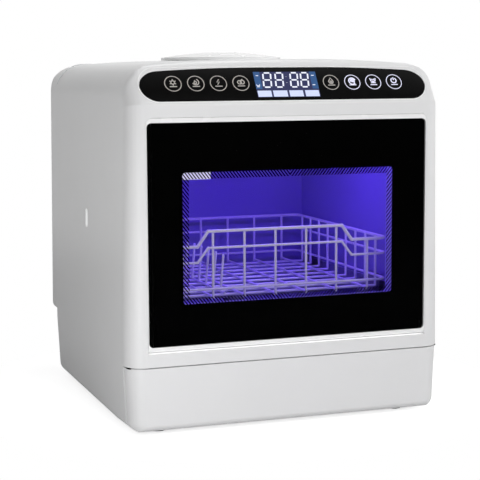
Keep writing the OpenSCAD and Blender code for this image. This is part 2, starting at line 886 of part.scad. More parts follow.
module latch_hook() color("white") {
    difference() {
        translate([-14, frame_t + liner_t, 380.5]) cube([28, 18, 5.5]);
        translate([-16, frame_t + liner_t + 8, 383.5]) cube([32, 5, 4]);
    }
}

module cup_outline(grow = 0) {
    rounded_box_outline([40 - grow, 330 - grow], [130 + grow, 353 + grow], 4 + grow);
}

module detergent_cup() color("gray") {
    difference() {
        facing_front(plug_y - 16, plug_y) cup_outline();
        facing_front(plug_y - 14, plug_y + 1) cup_outline(-2);
    }
}

// Lid that slides sideways off the cup
module detergent_lid() color("white") {
    difference() {
        facing_front(plug_y + 0.3, plug_y + 1.8) cup_outline(1);
        for (x = [50, 56, 62])
            facing_front(plug_y + 1.3, plug_y + 3) translate([x, 334]) square([2, 15]);
    }
}

// ---------- rack ----------

rack_corner = 12;
ring_z = [rack_rim_z, rack_rim_z - 20, rack_base + 13];
ring_r = [rim_r, wire_r, wire_r];
front_rise = [19, 18, 0];            // the front rails rise to a raised middle
rise_foot = 105;
rise_head = 91;
weld_swell = 0.25;
upright_y = [rack_front + 30 : 32 : rack_rear - 20];
upright_x = [-128, -84, -42, 0, 42, 84, 128];
tine_x = [-116, -62];
tine_pitch = 30;
tine_start = 90;                     // the first row's foot behind the front face

// Quarter turn of a rail around a corner of the rack
module rail_corner(x_side, y_side, z, r) {
    turn = x_side > 0 ? (y_side > 0 ? 0 : -90) : (y_side > 0 ? 90 : 180);
    y = y_side > 0 ? rack_rear - rack_corner : rack_front + rack_corner;
    translate([x_side * (rack_half - rack_corner), y, z]) rotate([0, 0, turn])
        rotate_extrude(angle = 90, $fn = 48) translate([rack_corner, 0]) circle(r, $fn = 24);
}

module rack_front() color("lavender") {
    reach = rack_half - rack_corner;
    for (i = [0 : 2]) {
        z = ring_z[i];
        if (front_rise[i] > 0)
            bent_rod([[-reach, rack_front, z], [-rise_foot, rack_front, z],
                [-rise_head, rack_front, z + front_rise[i]], [rise_head, rack_front, z + front_rise[i]],
                [rise_foot, rack_front, z], [reach, rack_front, z]], ring_r[i], weld_swell);
        else
            rod([-reach, rack_front, z], [reach, rack_front, z], ring_r[i]);
        for (side = [-1, 1]) rail_corner(side, -1, z, ring_r[i]);
    }
    for (x = upright_x) {
        top = ring_z[0] + (abs(x) < rise_head ? front_rise[0] : 0);
        rod([x, rack_front + 2, rack_base], [x, rack_front + 2, top], wire_r);
    }
}

module rack_rear() color("lavender") {
    reach = rack_half - rack_corner;
    for (i = [0 : 2]) {
        rod([-reach, rack_rear, ring_z[i]], [reach, rack_rear, ring_z[i]], ring_r[i]);
        for (side = [-1, 1]) rail_corner(side, 1, ring_z[i], ring_r[i]);
    }
    for (x = upright_x)
        rod([x, rack_rear - 2, rack_base], [x, rack_rear - 2, ring_z[0]], wire_r);
}

module rack_side(side) {
    for (i = [0 : 2])
        rod([side * rack_half, rack_front + rack_corner, ring_z[i]],
            [side * rack_half, rack_rear - rack_corner, ring_z[i]], ring_r[i]);
    for (y = upright_y)
        rod([side * (rack_half - 2), y, rack_base], [side * (rack_half - 2), y, ring_z[0]], wire_r);
}

module rack_left() color("lavender") rack_side(-1);

module rack_right() color("lavender") rack_side(1);

module rack_floor() color("lavender") {
    for (y = upright_y)
        rod([2 - rack_half, y, rack_base], [rack_half - 2, y, rack_base], wire_r);
    for (x = upright_x)
        rod([x, rack_front + 2, rack_base + 2.6], [x, rack_rear - 2, rack_base + 2.6], wire_r);
    // bars that carry the tines
    for (x = tine_x)
        rod([x, tine_start - 16, rack_base + 3],
            [x, tine_start + tine_pitch * (tine_rows - 1) + 8, rack_base + 3], wire_r);
}

// Leaning prongs that hold plates apart
module plate_tines() color("lavender") {
    for (row = [0 : tine_rows - 1]) for (x = tine_x) {
        y = tine_start + tine_pitch * row;
        rod([x, y, rack_base + 3], [x, y - 12, rack_base + 52], wire_r);
    }
}

module rack_shoes() color("gray") {
    for (side = [-1, 1]) for (y = [90, rack_rear - 40])
        translate([side > 0 ? rack_half - 0.5 : -rack_half - 7.5, y, rail_z + 0.3]) cube([8, 26, 29]);
}

placed() cabinet_shell();
placed() front_fascia();
placed() plinth_panel();
placed() rear_cover();
placed() rear_panel();
placed() base_tray();
placed() feet();
placed() side_plug();
placed() control_strip();
placed() display_module();
placed() control_board();
placed() tub();
placed() door_gasket();
placed() rack_rails();
placed() interior_lamp();
placed() sump();
placed() filter();
placed() spray_hub();
placed() spray_nut();
placed() spray_arm();
placed() wash_pump();
placed() pump_impeller();
placed() wash_pipe();
placed() drain_pump();
placed() drain_hose();
placed() heater();
placed() inlet_valve();
placed() supply_hose();
placed() inlet_connector();
placed() drain_spigot();
placed() cord_gland();
placed() water_tank();
placed() filler_neck();
placed() filler_cap();
placed() cap_seal();
placed() blower_housing();
placed() blower_rotor();
placed() air_duct();
placed() hinge_brackets();
placed() latch_housing();
placed() latch_plunger();
placed() rear_screws();
placed() door_frame();
placed() door_glass();
placed() glass_border();
placed() inner_glass();
placed() window_seal();
placed() door_liner();
placed() hinge_pins();
placed() latch_hook();
placed() detergent_cup();
placed() detergent_lid();
placed() rack_front();
placed() rack_rear();
placed() rack_left();
placed() rack_right();
placed() rack_floor();
placed() plate_tines();
placed() rack_shoes();
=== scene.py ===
# %% [markdown]
# # A countertop dishwasher, dressed
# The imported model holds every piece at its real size, in metres, standing on
# z = 0 with the front towards -Y. This lesson gives each piece its finish,
# and remakes the ones whose real shape is softer than a plain solid.

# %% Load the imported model
import math

import bmesh
import bpy
from mathutils import Matrix, Vector


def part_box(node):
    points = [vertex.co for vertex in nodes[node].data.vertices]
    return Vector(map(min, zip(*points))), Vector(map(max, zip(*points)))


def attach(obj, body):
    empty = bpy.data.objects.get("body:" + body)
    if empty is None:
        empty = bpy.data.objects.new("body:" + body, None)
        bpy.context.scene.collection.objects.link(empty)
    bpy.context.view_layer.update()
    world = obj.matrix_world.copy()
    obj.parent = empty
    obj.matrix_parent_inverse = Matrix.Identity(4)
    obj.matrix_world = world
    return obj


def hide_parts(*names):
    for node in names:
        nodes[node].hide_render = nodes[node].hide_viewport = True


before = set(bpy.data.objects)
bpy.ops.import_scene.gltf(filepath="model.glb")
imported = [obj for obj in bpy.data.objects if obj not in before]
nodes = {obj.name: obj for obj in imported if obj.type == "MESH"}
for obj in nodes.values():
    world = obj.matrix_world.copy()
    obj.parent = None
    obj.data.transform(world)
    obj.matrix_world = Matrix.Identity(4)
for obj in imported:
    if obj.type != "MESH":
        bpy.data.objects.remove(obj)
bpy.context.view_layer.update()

# %% [markdown]
# ## The camera
# A view from the front left, a little above the console. A long lens keeps the
# edges of the cabinet nearly parallel, as in a catalogue view. The three turns
# are azimuth, pitch and a slight roll.

# %% Place the camera
FRAME_SIDE = 480                     # of the rendered square, in pixels
FOCAL = 1391.327                     # focal length, in pixels
SENSOR = 36.0
EYE = Vector((-0.6335, -1.8082, 0.4475))
AZIMUTH = math.radians(19.6534)
PITCH = math.radians(7.0889)
ROLL = math.radians(-0.2826)

camera = bpy.data.objects.new("camera", bpy.data.cameras.new("camera"))
bpy.context.scene.collection.objects.link(camera)
camera.data.sensor_width = SENSOR
camera.data.lens = FOCAL * SENSOR / FRAME_SIDE
turn = (Matrix.Rotation(-AZIMUTH, 4, "Z") @ Matrix.Rotation(math.pi / 2 - PITCH, 4, "X")
        @ Matrix.Rotation(ROLL, 4, "Z"))
camera.matrix_world = Matrix.Translation(EYE) @ turn
bpy.context.scene.camera = camera
print("camera lens:", round(camera.data.lens, 1), "mm")

# %% [markdown]
# ## Building materials
# Every finish is one Principled shader whose colour, roughness or bump is varied
# by a few nodes. The editor would show them as boxes and wires. Here `Signal`
# wraps a socket, so that the maths reads as Python, and `Shading.node` is the one
# way in which any other node is added.

# %% Arithmetic on sockets
class Signal:
    """A shader socket that Python can do sums with."""

    def __init__(self, shading, socket):
        self.shading = shading
        self.socket = socket

    def maths(self, operation, *values):
        return self.shading.node("Math", dict(enumerate(values)), operation=operation)

    def output(self, name):
        """Another output of the same node."""
        return Signal(self.shading, self.socket.node.outputs[name])

    def __add__(self, other):
        return self.maths("ADD", self, other)

    def __radd__(self, other):
        return self.maths("ADD", other, self)

    def __rsub__(self, other):
        return self.maths("SUBTRACT", other, self)

    def __mul__(self, other):
        return self.maths("MULTIPLY", self, other)

    def __rmul__(self, other):
        return self.maths("MULTIPLY", other, self)

    def clamp(self):
        return self.maths("MINIMUM", self.maths("MAXIMUM", self, 0.0), 1.0)

# %% The maker of nodes
WHITE = (1, 1, 1)
BLACK = (0.0, 0.0, 0.0)
FACTOR, FIRST, SECOND, RESULT = 0, 6, 7, 2   # the colour sockets of a Mix node, by number


class Shading:
    """A node tree, and the one way in which nodes are added to it."""

    def __init__(self, tree):
        self.tree = tree

    def node(self, kind, sockets=None, **settings):
        """Adds a node, sets it up, feeds its sockets, and returns its first output."""
        made = self.tree.nodes.new("ShaderNode" + kind)
        for name, value in settings.items():
            setattr(made, name, value)
        for name, value in (sockets or {}).items():
            self.feed(made.inputs[name], value)
        return Signal(self, made.outputs[0])

    def feed(self, socket, value):
        """Links a signal to a socket, or sets a plain value on it."""
        if isinstance(value, Signal):
            self.tree.links.new(value.socket, socket)
        else:
            socket.default_value = value

    def mix(self, factor, first, second):
        """One colour fading into another as factor goes from 0 to 1."""
        colours = {FACTOR: factor, FIRST: rgba(first), SECOND: rgba(second)}
        return self.node("Mix", colours, data_type="RGBA").output(RESULT)

    def ramp(self, value, low, high):
        """0 below low, 1 above high, and an even slope between them."""
        return self.node("MapRange", {"Value": value, "From Min": low, "From Max": high})


def rgba(colour):
    """A colour socket wants four numbers; a signal passes through."""
    return colour if isinstance(colour, Signal) else (*colour, 1.0)


print("white, for a colour socket:", rgba(WHITE))

# %% A material in the making
class Finish(Shading):
    """One material: a Principled shader, its constants, and the nodes that vary it."""

    def __init__(self, name, constants):
        self.material = bpy.data.materials.new(name)
        self.material.use_nodes = True
        super().__init__(self.material.node_tree)
        self.shader = self.tree.nodes["Principled BSDF"]
        for socket, value in constants.items():
            self.shader.inputs[socket].default_value = value
        self.place = self.node("TexCoord").output("Object")

    def vary(self, **feeds):
        """Feeds the shader's own sockets, such as Base_Color or Roughness."""
        for name, value in feeds.items():
            self.feed(self.shader.inputs[name.replace("_", " ")], value)
        return self

    def noise(self, size, detail=2.0):
        """Soft lumps from 0 to 1, about size metres across."""
        return self.node("TexNoise", {"Vector": self.place, "Scale": 1 / size, "Detail": detail})

    def bump(self, height, depth):
        """Raises the surface by depth metres where height is 1."""
        return self.vary(Normal=self.node("Bump", {"Height": height, "Distance": depth}))

# %% [markdown]
# ## Moulded plastics
# The cabinet is injection moulded and left unpainted. Such a wall is never quite
# even: it has a satin skin with a very fine texture from the tool, a slow drift
# in tone over a hand's width, and a gloss that wanders a little. Noise of three
# sizes gives all three. Painted textures could too, but need unwrapping first.

# %% White mouldings
TONE_PATCH = 0.09                    # metres over which the tone drifts,
TONE_DRIFT = 0.025                   # by this share
GLOSS_PATCH = 0.03                   # metres over which the gloss wanders,
GLOSS_DRIFT = 0.08                   # by this much roughness
BRIGHT = (0.93, 0.93, 0.93)


def moulded(name, colour, roughness, texture=0.0006, depth=0.000012, painted_glow=0.0):
    """An unpainted moulding: satin skin, slow drift in tone, fine tool texture."""
    made = Finish(name, {"IOR": 1.46, "Emission Color": rgba(WHITE), "Emission Strength": painted_glow})
    darker = tuple(c * (1 - TONE_DRIFT) for c in colour)
    made.vary(Base_Color=made.mix(made.noise(TONE_PATCH), darker, colour),
              Roughness=roughness + GLOSS_DRIFT * made.noise(GLOSS_PATCH, 1.0))
    return made.bump(made.noise(texture, 1.0), depth)


white_wall = moulded("white_wall", (0.80, 0.80, 0.805), 0.34)
white_trim = moulded("white_trim", (0.82, 0.82, 0.825), 0.26, depth=0.000008)
# A lighter copy of the white moulding: its extra lightness is painted light, on the door frame, the
# filler cap, the strip's lip and the door's step.
white_painted_light = moulded("white_painted_light", BRIGHT, 0.22, depth=0.000005)
# The side plug glows a little: painted light that makes it read lighter.
plug_painted_light = moulded("plug_painted_light", BRIGHT, 0.22, depth=0.000005, painted_glow=0.22)
# The sill in the door's gap glows: painted light over the shade in the gap.
gap_painted_light = moulded("gap_painted_light", BRIGHT, 0.4, painted_glow=0.5)
grey_plastic = moulded("grey_plastic", (0.23, 0.24, 0.26), 0.42, texture=0.0009, depth=0.00003)
dark_plastic = moulded("dark_plastic", (0.035, 0.037, 0.042), 0.45, texture=0.0009, depth=0.00003)
foot_rubber = moulded("foot_rubber", (0.045, 0.045, 0.045), 0.75, texture=0.0004, depth=0.00004)
seal_rubber = moulded("seal_rubber", (0.16, 0.16, 0.17), 0.62, texture=0.0005, depth=0.00002)
print("mouldings:", white_wall.material.name, grey_plastic.material.name, seal_rubber.material.name)

# %% [markdown]
# ## Metals
# The tray and the back plate are zinc-coated sheet, whose crystals show as soft
# flakes of lighter and darker grey: the cells of a Voronoi texture. Shafts, rails
# and the heater are plain stainless steel with fine lines along their length,
# which are noise stretched along Y.

# %% Sheet and bar metal
FLAKES = 120.0                       # zinc crystals per metre
DRAWN = (2500.0, 60.0, 2500.0)       # lumps of noise per metre: close across, long in Y


def zinc_sheet():
    made = Finish("zinc_sheet", {"Metallic": 1.0})
    flakes = made.node("TexVoronoi", {"Vector": made.place, "Scale": FLAKES}).output("Color")
    level = made.node("SeparateColor", {"Color": flakes})
    return made.vary(Base_Color=made.mix(level, (0.42, 0.43, 0.44), (0.62, 0.63, 0.64)),
                     Roughness=0.34 + 0.14 * level)


def steel_bar():
    made = Finish("steel_bar", {"Metallic": 1.0})
    streaks = made.node("Mapping", {"Vector": made.place, "Scale": DRAWN})
    lines = made.node("TexNoise", {"Vector": streaks, "Scale": 1.0, "Detail": 1.0})
    made.vary(Base_Color=made.mix(made.noise(0.02), (0.55, 0.55, 0.56), (0.70, 0.70, 0.71)),
              Roughness=0.22 + 0.16 * lines)
    return made.bump(lines, 0.000006)


zinc = zinc_sheet()
steel = steel_bar()
print("metals:", zinc.material.name, steel.material.name)

# %% [markdown]
# ## Lit surfaces inside, with painted lamplight
# A violet lamp under the roof of the tub colours everything behind the window.
# The real light is a lamp in the scene. The liner, the seal and the wires also
# carry painted lamplight: a violet tint in their colour and a painted glow, so
# that the inside still reads as lit under other light.

# %% The liner and the wires
TUB_LOW, TUB_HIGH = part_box("tub")
# Painted lamplight: the painted glow is whole at the front and top, and fades to these shares.
PAINTED_GLOW_AT_BACK = 0.25                    # the glow that is left at the back of the tub,
PAINTED_GLOW_AT_FLOOR = 0.2                    # and at its floor


def liner_with_painted_lamplight(name, base, painted_glow, strength):
    """A smooth liner with painted lamplight: a glow that fades towards the back and the floor."""
    made = Finish(name, {"Emission Strength": strength, "IOR": 1.5})
    spot = made.node("SeparateXYZ", {"Vector": made.place})
    near = made.ramp(spot.output("Y"), TUB_HIGH.y, TUB_LOW.y)
    high = made.ramp(spot.output("Z"), TUB_LOW.z, TUB_HIGH.z)
    shine = (PAINTED_GLOW_AT_BACK + (1 - PAINTED_GLOW_AT_BACK) * near) * (PAINTED_GLOW_AT_FLOOR + (1 - PAINTED_GLOW_AT_FLOOR) * high)
    made.vary(Base_Color=made.mix(made.noise(0.05), base, tuple(c * 0.94 for c in base)),
              Roughness=0.28 + 0.1 * made.noise(0.02),
              Emission_Color=made.mix(shine, BLACK, painted_glow))
    return made.bump(made.noise(0.004, 1.0), 0.00003)


# The violet tint of these colours and their glow are painted lamplight.
tub_liner = liner_with_painted_lamplight("tub_liner", (0.30, 0.27, 0.55), (0.10, 0.03, 0.75), 0.10)
seal_painted_lamplight = liner_with_painted_lamplight("seal_painted_lamplight", (0.40, 0.37, 0.60), (0.10, 0.05, 0.75), 1.0)
rack_wire = liner_with_painted_lamplight("rack_wire", (0.80, 0.78, 0.84), (0.45, 0.38, 0.85), 0.30)
print("tub from", [round(v, 3) for v in TUB_LOW], "to", [round(v, 3) for v in TUB_HIGH])

# %% [markdown]
# ## Glass, print and display
# The door pane is clear glass with an opaque black print behind its border. The
# clear window is made with transparency instead of refraction, because the pane
# is flat and thin: light passes straight through, and the gloss grows towards a
# glancing view as it does on real glass.

# %% Glass and black print
def thin_glass(name, tint, cover, gloss):
    """Flat glass: it covers little from the front, and more at a glancing view."""
    made = Finish(name, {"Base Color": rgba(tint), "Specular IOR Level": 0.05})
    glance = made.node("Fresnel", {"IOR": 1.45})
    return made.vary(Alpha=(cover + gloss * glance).clamp(),
                     Roughness=0.03 + 0.03 * made.noise(0.04))


door_pane = thin_glass("door_pane", (0.001, 0.001, 0.001), 0.05, 0.4)
inner_pane = thin_glass("inner_pane", (0.002, 0.002, 0.004), 0.03, 0.4)


def black_gloss(name, level, roughness, shine):
    """Black print or lacquer with faint wipe marks in its gloss."""
    made = Finish(name, {"Specular IOR Level": shine})
    wipe = made.noise(0.018, 3.0)
    return made.vary(Base_Color=made.mix(wipe, (level, level, level), (level * 1.6,) * 3),
                     Roughness=roughness + 0.08 * wipe)


# Black print on the glass; the seam's slits use the same black as painted shade.
black_print = black_gloss("black_print", 0.0003, 0.3, 0.015)
strip_black = black_gloss("strip_black", 0.003, 0.16, 0.1)
print("glass:", door_pane.material.name, inner_pane.material.name)
print("print:", black_print.material.name, strip_black.material.name)

# %% [markdown]
# ## The rest of the finishes
# Behind the walls sit a green circuit board and a milky water tank. On the
# console, printed marks are a warm grey, and lit ones glow by themselves. They
# are too small to light anything, so no lamps stand behind them.

# %% Board, tank and lit marks
UNEVEN = 0.12                        # a lit mark is darker by up to this share


def circuit_board():
    made = Finish("circuit_board", {"IOR": 1.5})
    lines = made.node("TexBrick", {"Vector": made.place, "Scale": 90.0,
                                   "Mortar Size": 0.012}).output("Fac")
    fine = made.noise(0.004)
    board = made.mix(fine, (0.01, 0.09, 0.03), (0.02, 0.14, 0.05))
    made.vary(Base_Color=made.mix(lines, board, (0.30, 0.26, 0.08)), Roughness=0.35 + 0.2 * fine)
    return made.bump(lines, 0.00005)


def glowing(name, colour, strength):
    """Something lit from behind: its glow is a little uneven, as behind a real diffuser."""
    made = Finish(name, {"Emission Strength": strength, "Roughness": 0.4})
    patch = made.noise(0.004, 1.0)
    dimmer = tuple(c * (1 - UNEVEN) for c in colour)
    return made.vary(Base_Color=made.mix(patch, tuple(c * 0.3 for c in colour), (0.02, 0.02, 0.02)),
                     Emission_Color=made.mix(patch, dimmer, colour))


circuit = circuit_board()
milky_tank = moulded("milky_tank", (0.60, 0.66, 0.70), 0.38, texture=0.0012)
lamp_lens = glowing("lamp_lens", (0.45, 0.30, 1.0), 3.0)
warm_print = moulded("warm_print", (0.50, 0.47, 0.44), 0.5, texture=0.0003)
key_light = glowing("key_light", (0.80, 0.80, 1.0), 0.95)
digit_light = glowing("digit_light", (0.85, 0.88, 1.0), 1.0)
tile_light = glowing("tile_light", (0.62, 0.68, 0.95), 1.0)
screen_navy = glowing("screen_navy", (0.004, 0.008, 0.075), 1.0)
screen_teal = glowing("screen_teal", (0.008, 0.07, 0.22), 1.0)
# Painted light for the bright corner of the window; no lamp stands there.
corner_painted_light = glowing("corner_painted_light", (0.72, 0.68, 1.0), 1.0)
print("materials so far:", len(bpy.data.materials))

# %% [markdown]
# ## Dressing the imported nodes
# A node whose shape is already right keeps its mesh and only gets its finish. A
# table is shorter than a call for each node, and shows what shares a material.

# %% Give every node its finish
DRESS = {
    white_wall: "cabinet_shell front_fascia plinth_panel rear_cover",
    # The door frame and the filler cap are in the lighter white of painted light.
    white_painted_light: "door_frame filler_cap",
    white_trim: "side_plug filler_neck latch_hook latch_plunger inlet_valve "
                "supply_hose inlet_connector detergent_lid",
    grey_plastic: "detergent_cup wash_pipe rack_shoes drain_spigot filter spray_arm spray_hub "
                  "spray_nut air_duct",
    dark_plastic: "sump wash_pump pump_impeller drain_pump blower_housing blower_rotor "
                  "latch_housing cord_gland display_module",
    foot_rubber: "feet drain_hose cap_seal",
    seal_rubber: "door_gasket",
    seal_painted_lamplight: "window_seal",
    zinc: "rear_panel base_tray hinge_brackets",
    steel: "rack_rails heater hinge_pins rear_screws",
    tub_liner: "tub door_liner",
    rack_wire: "rack_front rack_rear rack_left rack_right rack_floor plate_tines",
    milky_tank: "water_tank",
    door_pane: "door_glass",
    black_print: "glass_border",
    inner_pane: "inner_glass",
    strip_black: "control_strip",
    circuit: "control_board",
    lamp_lens: "interior_lamp",
}
dressed = {name for names in DRESS.values() for name in names.split()}
for finish, names in DRESS.items():
    for name in names.split():
        for material_slot in nodes[name].material_slots:
            material_slot.material = finish.material
print("dressed:", len(dressed), "of", len(nodes), "nodes; left out:", sorted(set(nodes) - dressed))

# %% [markdown]
# ## Turning a bmesh into a piece
# Every new piece ends the same way: faces outwards, smooth shading with crisp
# edges kept, one finish, and a body to ride on. Its place stays in its mesh.

# %% Put a piece in place
CRISP = math.radians(35)             # a sharper fold than this stays a visible edge


def put(name, bm, finish, body, stands_for=()):
    """Makes a finished piece of a bmesh, on a body and in place of some nodes."""
    bmesh.ops.recalc_face_normals(bm, faces=bm.faces)
    mesh = bpy.data.meshes.new(name)
    bm.to_mesh(mesh)
    bm.free()
    mesh.shade_smooth()
    mesh.set_sharp_from_angle(angle=CRISP)
    mesh.materials.append(finish.material)
    piece = bpy.data.objects.new(name, mesh)
    bpy.context.scene.collection.objects.link(piece)
    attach(piece, body)
    if stands_for:
        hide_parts(*stands_for)
    print("new piece:", name, len(mesh.polygons), "faces")
    return piece


print("an edge stays crisp where it folds by over", round(math.degrees(CRISP)), "degrees")

# %% [markdown]
# ## The cabinet's soft form
# The outer mouldings lean in a little above the plinth and tuck in below it, the
# front's lower edge is rounded, and the roof is gently arched. A lattice could
# bend them, but it would blur where each change starts. So each is remade from
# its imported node: the mesh is cut into narrow bands, so that it can bend, and
# every point is then eased over. The side plug and the base tray follow, so that
# they still fit the walls. Nothing moves outwards, and nothing moves near the
# door or the filler.

# %% Ease a point towards the soft form
MM = 0.001
FRONT_Y = -0.2225                    # the front face
WAIST = 0.087                        # the walls are widest here, at the plinth's seam,
LEAN_IN = math.radians(0.75)         # lean in by this much above it,
TUCK_IN = math.radians(2.7)          # and tuck in by this much below it
HALF_WIDTH = 0.210
FLAT_HALF = 0.186                    # the front is flat between its round corners
CORNER = HALF_WIDTH - FLAT_HALF      # radius of those corners, seen from above
CORNER_Y = FRONT_Y + CORNER
FOOT_Z = 0.005                       # the lower edge of the walls
FILLET = 0.013                       # rounding of the front's lower edge
FADE = 0.06                          # it fades out over this length of the side walls,
KEPT = 0.15                          # down to this share
CONSOLE_Z = 0.404                    # where the front leans back into the console
CONSOLE_TILT = math.radians(32)
ROOF_Z = 0.457
ARCH_FROM = 0.030                    # the roof is level this far to each side,
ARCH = 0.281                         # and then falls by this much times the distance squared
SLIDE = 0.08                         # this near the front, what falls slides forward as well, so
SLIDE_FADE = 0.12                    # that the console stays flat; that stops over this length


def share(value):
    """Keeps a value between 0 and 1."""
    return min(max(value, 0.0), 1.0)


def eased(co):
    """Where a point of the straight cabinet lies on the soft one."""
    x, y, z = co
    lean = math.tan(LEAN_IN) if z > WAIST else -math.tan(TUCK_IN)
    below = min(max(FOOT_Z + FILLET - z, 0.0), FILLET)
    fillet = FILLET - math.sqrt(FILLET ** 2 - below ** 2)
    inward = (z - WAIST) * lean + fillet * (1 - (1 - KEPT) * share((y - CORNER_Y) / FADE))
    beyond = abs(x) - FLAT_HALF
    if beyond > 0:
        x = math.copysign(FLAT_HALF + beyond * (1 - inward / CORNER), x)
    y = y + max(CORNER_Y - y, 0.0) * fillet / CORNER
    height = share((z - CONSOLE_Z) / (ROOF_Z - CONSOLE_Z))
    drop = ARCH * max(abs(x) - ARCH_FROM, 0.0) ** 2 * height
    forward = drop * math.tan(CONSOLE_TILT) * share(1 - (y - FRONT_Y - SLIDE) / SLIDE_FADE)
    return Vector((x, y - forward, z - drop))


print("the roof's edge falls by", round((ROOF_Z - eased((HALF_WIDTH, 0, ROOF_Z)).z) / MM, 1), "mm")

# %% Remake the mouldings
SHOULDER = 0.044                     # radius between wall and roof, seen from the front
BAND_WIDTH = 0.012
BANDS = 17                           # to each side of the middle
FADE_BANDS = 5
ROUND_STEP = 15                      # degrees from cut to cut along the rounding
WELD = 2e-6                          # points closer than this become one


def cut(bm, point, across, snap=1e-6):
    """Cuts every face along a plane."""
    bmesh.ops.bisect_plane(bm, geom=bm.verts[:] + bm.edges[:] + bm.faces[:], dist=snap,
                           plane_co=point, plane_no=across)


def soft_copy(name, node, finish):
    """Remakes a cabinet node on the soft form."""
    bm = bmesh.new()
    bm.from_mesh(nodes[node].data)
    bmesh.ops.remove_doubles(bm, verts=bm.verts, dist=WELD)
    for i in range(-BANDS, BANDS + 1):
        cut(bm, (BAND_WIDTH * i, 0, 0), (1, 0, 0))
    for i in range(FADE_BANDS + 1):
        cut(bm, (0, CORNER_Y + FADE * i / FADE_BANDS, 0), (0, 1, 0))
    turns = [math.radians(a) for a in range(0, 90, ROUND_STEP)]
    rounded = [FOOT_Z + FILLET * (1 - math.sin(a)) for a in turns]
    for height in (*rounded, WAIST, CONSOLE_Z, ROOF_Z - SHOULDER):
        cut(bm, (0, 0, height), (0, 0, 1))
    for vertex in bm.verts:
        vertex.co = eased(vertex.co)
    piece = put(name, bm, finish, "cabinet", [node])
    piece.modifiers.new("even shading", "WEIGHTED_NORMAL").keep_sharp = True


soft_copy("soft_cabinet_shell", "cabinet_shell", white_wall)
soft_copy("soft_front_fascia", "front_fascia", white_wall)
soft_copy("soft_plinth_panel", "plinth_panel", white_wall)
soft_copy("soft_rear_cover", "rear_cover", white_wall)
soft_copy("soft_plug", "side_plug", plug_painted_light)
soft_copy("soft_tray", "base_tray", zinc)

# %% [markdown]
# ## The open ends of the plinth seam
# The seam over the plinth opens a little where it runs out at the round corners,
# and shows there as a short slit, dark with the shade inside it. It could be cut
# out of the walls, but a flat black bead in the seam, painted shade, looks the
# same at this size and is far simpler.

# %% The slits
SLIT_AT = math.radians(60)           # how far round the corner they lie
SLIT_HALF = (4.5 * MM, 0.8 * MM, 1.1 * MM)   # half their length, depth and height
SLIT_IN = 0.4 * MM                   # their middles lie this far inside the wall,
SLIT_DOWN = 0.3 * MM                 # and this far below the waist


def seam_painted_shade():
    bm = bmesh.new()
    for side in (-1, 1):
        made = bmesh.ops.create_uvsphere(bm, u_segments=24, v_segments=12, radius=1.0)["verts"]
        bmesh.ops.scale(bm, vec=SLIT_HALF, verts=made)
        bmesh.ops.translate(bm, vec=(0, SLIT_IN - CORNER, 0), verts=made)
        bmesh.ops.transform(bm, matrix=Matrix.Rotation(side * SLIT_AT, 4, "Z"), verts=made)
        bmesh.ops.translate(bm, vec=(side * FLAT_HALF, CORNER_Y, WAIST - SLIT_DOWN), verts=made)
    # The black here is painted shade.
    put("seam_painted_shade", bm, black_print, "cabinet")


seam_painted_shade()

# %% [markdown]
# ## The touch strip
# The strip is a black glass bar with round ends, let into the leaning console.
# A circle cut in two, whose halves move apart, gives its outline. The console's
# own frame has x along it, y up the slope and z out of its face, so that all
# that lies on it can be drawn as if it were flat.

# %% The console's frame and a flat bar
CONSOLE = (Matrix.Translation((0, FRONT_Y, CONSOLE_Z))
           @ Matrix.Rotation(math.pi / 2 - CONSOLE_TILT, 4, "X"))


def stadium(half_length, radius, segments=96):
    """A flat outline with round ends, from a circle whose halves move apart."""
    bm = bmesh.new()
    bmesh.ops.create_circle(bm, cap_ends=True, segments=segments, radius=radius,
                            matrix=Matrix.Rotation(math.pi / segments, 4, "Z"))
    for vertex in bm.verts:
        vertex.co.x += math.copysign(half_length - radius, vertex.co.x)
    return bm


def thicken(bm, along):
    """Extrudes every face by a vector."""
    grown = bmesh.ops.extrude_face_region(bm, geom=bm.faces[:])["geom"]
    moved = [part for part in grown if isinstance(part, bmesh.types.BMVert)]
    bmesh.ops.translate(bm, vec=along, verts=moved)


print("the console leans back by", round(math.degrees(CONSOLE_TILT)), "degrees")

# %% The black strip
STRIP_HALF = 188.5 * MM
STRIP_RISE = 27.1 * MM               # centre of the strip above the bend, up the slope
STRIP_R = 23.5 * MM
STRIP_THICK = 3 * MM
STRIP_TOP = -0.2 * MM                # the glass lies this far below the console's face
STRIP_EDGE = 0.4 * MM                # rounding of its upper edge
FOLD = math.radians(60)              # that edge folds by more than this


def touch_strip():
    bm = stadium(STRIP_HALF, STRIP_R)
    thicken(bm, (0, 0, STRIP_THICK))
    rim = [e for e in bm.edges if e.is_manifold and e.calc_face_angle() > FOLD
           and min(v.co.z for v in e.verts) > STRIP_THICK / 2]
    bmesh.ops.bevel(bm, geom=rim, offset=STRIP_EDGE, segments=3, profile=0.5, affect="EDGES",
                    clamp_overlap=True, material=-1)
    low = Matrix.Translation((0, STRIP_RISE, STRIP_TOP - STRIP_THICK))
    bmesh.ops.transform(bm, verts=bm.verts, matrix=CONSOLE @ low)
    return put("touch_strip", bm, strip_black, "cabinet", ["control_strip"])


strip = touch_strip()
print("strip:", [round(d / MM, 1) for d in strip.dimensions], "mm")

# %% [markdown]
# ## Drawing on the console
# Printed and lit marks are thin lines. Each is a curve with a round section,
# made a mesh and pressed nearly flat, so that a ring, an icon or a dash costs
# only its path. Icons are plain signs of their own: no lettering.

# %% Lines drawn with a round pen
def arc(x, y, radius, start=0, end=360, steps=28):
    """Points along an arc, in degrees; a whole circle leaves out its last point."""
    whole = end - start == 360
    angles = [math.radians(start + (end - start) * i / steps) for i in range(steps + (not whole))]
    return [(x + radius * math.cos(a), y + radius * math.sin(a)) for a in angles]


